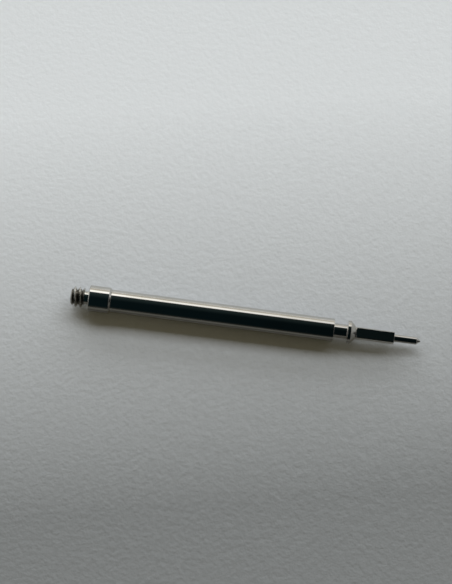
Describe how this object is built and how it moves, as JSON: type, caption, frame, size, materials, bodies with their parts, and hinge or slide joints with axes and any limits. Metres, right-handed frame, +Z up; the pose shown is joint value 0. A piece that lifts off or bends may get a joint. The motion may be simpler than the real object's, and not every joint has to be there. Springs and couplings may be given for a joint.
{
  "type": "telescopic winding stem",
  "caption": "Slim polished steel watch stem: threaded crown end with a collar, long round barrel, sprung inner stem with flange, square and pilot tip.",
  "frame": {"origin": "on the stem's axis, at the collar's shoulder that the crown is screwed down against", "axes": "+X along the axis from the crown's thread to the pilot tip, +Z up when the stem lies on a table, square to one flat of the square"},
  "size_m": [0.0247, 0.0018, 0.0018],
  "materials": {
    "plug_steel": "polished, faint turning marks, darker in the thread",
    "barrel_steel": "polished, faint turning marks",
    "stem_steel": "polished, milled flats on the square",
    "bush_bronze": "fine turned",
    "sleeve_steel": "broached bore, turned outside",
    "driver_steel": "hardened, fine ground",
    "pin_steel": "drawn wire",
    "spring_steel": "drawn spring wire"
  },
  "bodies": {
    "barrel_group": {"barrel": "barrel_steel", "crown_plug": "plug_steel", "mouth_bush": "bush_bronze", "drive_sleeve": "sleeve_steel", "return_spring": "spring_steel"},
    "stem_group": {"inner_stem": "stem_steel", "hex_driver": "driver_steel", "driver_pin": "pin_steel"}
  },
  "joints": [
    {"name": "stem_slide", "type": "slide", "parent": "barrel_group", "child": "stem_group", "axis": [1, 0, 0], "range_m": [-0.00095, 0], "stiffness_N_per_m": 305, "springref_m": 0.0012, "deforming": ["return_spring"]}
  ]
}
